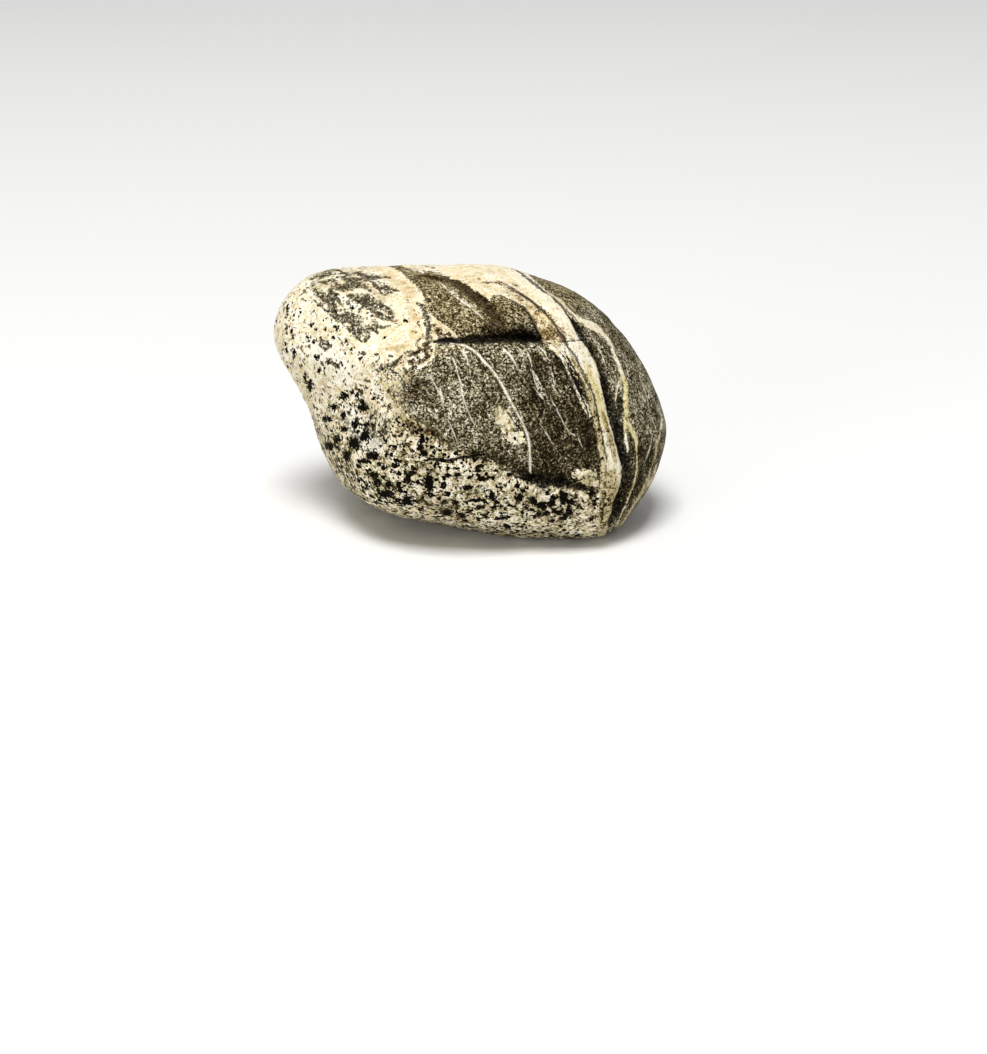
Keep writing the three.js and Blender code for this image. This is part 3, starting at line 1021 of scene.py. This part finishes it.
def granite(paint, grain):
    """Pale granite: feldspar and quartz with black mica, coarser low down and plain at the top."""
    coarse = paint.attribute("coarse")
    plain = paint.step(paint.attribute("plain") + grain.ragged, -0.6, 0.6)
    in_lens = paint.step(paint.attribute("lens"), -2, 0)
    mosaic = grain.tiny * 0.22 + grain.small * 0.4 + grain.large * 0.38 - 0.5
    spread = 0.6 + coarse * 0.95 - in_lens * 0.5
    clouds = grain.drift * (0.7 + coarse * 0.8) + grain.wobble * coarse * 0.35
    tone = mosaic * spread + clouds + 0.69 - coarse * 0.17 - in_lens * 0.06
    colour = paint.ramp(
        tone,
        [(0.06, BROWN_MICA), (0.22, GREY_QUARTZ), (0.42, QUARTZ), (0.6, FELDSPAR), (0.8, WHITE)],
    )
    creamy = paint.ramp(
        tone + grain.streak * 0.4,
        [(0.35, OLIVE_CREAM), (0.56, CREAM), (0.85, PALE_CREAM)],
    )
    colour = paint.blend(plain * 0.85, colour, creamy)
    colour = paint.blend(paint.step(grain.third, 0.72, 0.74) * 0.5, colour, PINK_FELDSPAR, "MULTIPLY")
    colour = paint.blend(paint.step(grain.other, 0.74, 0.76) * 0.7, colour, YELLOW_FELDSPAR, "MULTIPLY")
    bright = paint.step(paint.attribute("bright") + grain.ragged * 0.8, 0.1, 0.9)
    colour = paint.blend(bright * 0.5, colour, BRIGHT_WHITE)

    clump = paint.noise(grain.stirred, 2.4, 1.5, 0.5) + (grain.small - 0.5) * 0.2 + grain.drift * 0.3
    fleck = paint.noise(grain.tall, 1.9, 1, 0.5) + (grain.small - 0.5) * 0.18 + grain.drift * 0.35
    bare = plain * 0.12 + in_lens * 0.1
    clumps = paint.step(clump + coarse * 0.075 - bare, 0.745, 0.765)
    flecks = paint.step(fleck - coarse * 0.02 - bare, 0.685, 0.71)
    chips = paint.step(grain.large + grain.drift * 0.3 + coarse * 0.12 - bare, 0.965, 0.975)
    specks = paint.step(grain.other + grain.drift * 0.15 + coarse * 0.03 - bare, 0.955, 0.96)
    clots = paint.step(paint.attribute("clot") + grain.ragged * 0.65, 0.42, 0.46)
    black = clumps.most(flecks).most(specks).most(chips).most(clots)
    faded = paint.step(grain.third, 0.15, 0.6) * (1 - coarse) * (1 - clots)
    colour = paint.blend(black, colour, paint.blend(faded, BLACK_MICA_AND_CRACK_SHADE, MID_GRAIN))

    edge = (grain.small - 0.5) * 0.5 + (grain.large - 0.5) * 0.35 + grain.wobble * 0.7
    crowded = paint.step(paint.attribute("mica") + edge, 0.41, 0.44)
    mica_colour = paint.ramp(
        grain.tiny * 0.35 + grain.small * 0.65 + grain.wobble * 0.6,
        [(0.26, BLACK_MICA_AND_CRACK_SHADE), (0.48, BROWN_MICA), (0.68, MID_GRAIN), (0.78, PALE_GRAIN), (0.86, WHITE)],
    )
    return paint.blend(crowded * 0.95, colour, mica_colour), black


def schist(paint, grain):
    """Dark schist: salt-and-pepper grains drawn out along the layers, with a smooth brown zone."""
    upper = 1 - (paint.attribute("coarse") * 4).least(1)
    mixed = grain.tiny * 0.7 + grain.small * 0.3 - 0.5
    layers = grain.streak * 0.7 + grain.drift * 0.45
    # Darker schist, and painted shade in the pocket above the ledge and along the lower right rim.
    dusk = paint.attribute("dusk")
    tone = mixed * (1 - upper * 0.1) + layers * (1 - upper * 0.6) + 0.5 + upper * 0.05 - dusk * 0.26
    colour = paint.ramp(
        tone,
        [(0.17, DARK_GRAIN_AND_LEDGE_SHADE), (0.4, BROWN_GRAIN), (0.58, MID_GRAIN), (0.76, PALE_GRAIN), (0.95, WHITE)],
    )
    colour = paint.blend(upper, colour, BROWN_STAIN, "MULTIPLY")
    brown = paint.step(paint.attribute("brown") + grain.ragged, -0.6, 0.6)
    quiet = paint.ramp(tone, [(0.1, DARK_GRAIN_AND_LEDGE_SHADE), (0.4, BROWN_GRAIN), (0.8, SMOOTH_BROWN)])
    return paint.blend(brown * 0.85, colour, quiet)


def vein_stone(paint, grain):
    """The granular cream stone of the veins, plainer and paler at the top."""
    coarse = paint.attribute("coarse")
    mosaic = grain.tiny * 0.35 + grain.small * 0.4 + grain.large * 0.25 - 0.5
    streaky = grain.streak * 0.6 + grain.drift * 0.4
    dull = paint.step(paint.attribute("dull") + grain.ragged * 0.5, 0.2, 0.7)
    colour = paint.ramp(
        (mosaic + streaky) * (0.6 + coarse * 0.7 + dull) + 0.7 - dull * 0.14,
        [(0.02, BROWN_MICA), (0.16, DULL_OLIVE), (0.34, OLIVE_CREAM), (0.52, CREAM), (0.85, WHITE)],
    )
    colour = paint.blend(dull, colour, DULL_STAIN, "MULTIPLY")
    golden = paint.step(paint.attribute("golden") + grain.ragged * 0.6, 0.1, 0.9)
    return paint.blend(golden, colour, GOLDEN_STAIN, "MULTIPLY")


def line_mask(paint, name, ragged, soft):
    """1 on the thin lines of a kind: their edges shift by a ragged value, and are soft, in pixels."""
    half = paint.attribute(name + "_half")
    edge = abs(paint.attribute(name)) - half + ragged
    close = paint.step(paint.attribute(name + "_apart") - half, 2.8, 1.8)
    return paint.step(edge, soft, -soft) * close


def gneiss():
    """The whole rock's material."""
    paint = Paint("banded_gneiss")
    grain = grain_patterns(paint)

    pale, specks = granite(paint, grain)
    dark = schist(paint, grain)
    in_schist = paint.step(paint.attribute("schist") + grain.ragged * 1.6, -0.15, 0.15)
    in_lens = paint.step(paint.attribute("lens") + grain.ragged * 2.4, -0.2, 0.2)
    in_schist = in_schist * (1 - in_lens)
    colour = paint.blend(in_schist, pale, dark)

    pieces = (grain.small - 0.5) * 1.4 + (grain.tiny - 0.5) * 0.8
    broken = paint.noise(grain.layered, 1.6, 2, 0.5) - 0.5
    long_streaks = line_mask(paint, "long", pieces * 0.7 + grain.wobble * 1.5 + broken * 2, 0.5)
    whole = paint.step(broken * 1.5 + grain.wobble, -0.16, -0.06)
    short_streaks = line_mask(paint, "short", pieces * 0.6 + grain.wobble * 1.2, 0.5) * whole
    streaks = long_streaks.most(short_streaks)
    streak_tone = paint.ramp(grain.tiny * 0.5 + grain.small * 0.5, [(0.1, PALE_GRAIN), (0.55, WHITE)])
    colour = paint.blend(streaks * 0.9, colour, streak_tone)

    # Black mineral beside the veins, and painted shade in the hollow at the front schist's foot.
    black_mineral_and_hollow_shade = paint.step(paint.attribute("black") + grain.ragged * 0.7, 0.38, 0.58)
    colour = paint.blend(black_mineral_and_hollow_shade * (0.98 - grain.small * 0.2), colour, BLACK_MINERAL_AND_SHADE, "MULTIPLY")

    veins = line_mask(paint, "cream", pieces * 0.9 + grain.wobble * 2.4, 0.5)
    colour = paint.blend(veins, colour, vein_stone(paint, grain))
    # Dark mica streaks, and painted shade along the ledge's left end.
    dark_lines = line_mask(paint, "dark", pieces + grain.wobble * 2.6 + broken * 3, 0.5)
    colour = paint.blend(dark_lines * 0.85, colour, DARK_GRAIN_AND_LEDGE_SHADE)

    rusty = paint.attribute("rust") + grain.ragged * 0.9 + (grain.tiny - 0.5) * 0.8
    colour = paint.blend(paint.step(rusty, 0.42, 0.72) * 0.85, colour, RUST_STAIN, "MULTIPLY")
    colour = paint.blend(paint.step(rusty, 0.85, 1.05) * 0.85, colour, DARK_RUST, "MULTIPLY")
    ochre = paint.step(paint.attribute("ochre") + grain.ragged * 0.9, 0.1, 1.1)
    colour = paint.blend(ochre * 0.9, colour, OCHRE_STAIN, "MULTIPLY")
    # Painted shade: the pocket above the ledge is blackened where its shadow falls.
    ledge = paint.step(paint.attribute("ledge") + grain.ragged * 0.5, 0.35, 0.7)
    colour = paint.blend(ledge * 0.95, colour, BLACK_MINERAL_AND_SHADE, "MULTIPLY")

    # Painted shade: the insides of the open cracks are painted black.
    cracks = line_mask(paint, "crack", pieces * 0.8 + grain.wobble * 2, 0.5) * paint.attribute("front")
    colour = paint.blend(cracks * 0.95, colour, BLACK_MICA_AND_CRACK_SHADE)

    height = grain.small * 0.3 + grain.tiny * 0.15 + grain.fine * 0.6 + grain.wobble * 0.5 - specks * 0.3
    relief = paint.add("ShaderNodeBump", {}, {"Strength": 0.6, "Distance": 0.0006, "Height": height})
    rough = 0.85 - specks * 0.15 + grain.fine * 0.2
    surface = paint.add(
        "ShaderNodeBsdfPrincipled",
        {},
        {"Base Color": colour, "Roughness": rough, "Normal": relief, "Specular IOR Level": 0.03},
    )
    paint.add("ShaderNodeOutputMaterial", {}, {"Surface": surface})
    return paint.material


def make_stone(camera):
    """The visible stone, in place of the plain packed one."""
    stone = refined_copy(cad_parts["rock"])
    fields = draw_minerals(stone, camera)
    weather(stone, fields)
    for name, values in fields.items():
        add_attribute(stone.data, name, values)
    stone.data.materials.append(gneiss())
    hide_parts("rock")
    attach(stone, "root")


def make_floor():
    """A plain pale floor that reaches past the view."""
    ground = bmesh.new()
    bmesh.ops.create_grid(ground, x_segments=1, y_segments=1, size=12)
    mesh = bpy.data.meshes.new("floor")
    ground.to_mesh(mesh)
    ground.free()
    floor = bpy.data.objects.new("floor", mesh)
    bpy.context.scene.collection.objects.link(floor)
    paint = Paint("pale_floor")
    surface = paint.add(
        "ShaderNodeBsdfPrincipled",
        {},
        {"Base Color": (0.86, 0.86, 0.85, 1), "Roughness": 0.9},
    )
    paint.add("ShaderNodeOutputMaterial", {}, {"Surface": surface})
    mesh.materials.append(paint.material)


def add_light(name, place, size, power):
    """A square soft light in metres and watts, turned towards the stone."""
    data = bpy.data.lights.new(name, "AREA")
    data.size = size
    data.energy = power
    light = bpy.data.objects.new(name, data)
    light.location = place
    light.rotation_euler = (MIDDLE - Vector(place)).to_track_quat("-Z", "Y").to_euler()
    bpy.context.scene.collection.objects.link(light)


def light_studio():
    """A large soft key light overhead, a weak fill from the left and a pale surround."""
    add_light("key", (-0.2, -1.3, 3.2), 1.3, 112)
    add_light("fill", (-1.8, -2.2, 0.7), 1.2, 16)
    world = bpy.data.worlds.new("surround")
    world.use_nodes = True
    background = world.node_tree.nodes["Background"]
    background.inputs["Color"].default_value = (1, 1, 1, 1)
    background.inputs["Strength"].default_value = 0.36
    bpy.context.scene.world = world
    bpy.context.scene.view_settings.view_transform = "Standard"


camera = make_camera()
make_stone(camera)
make_floor()
light_studio()
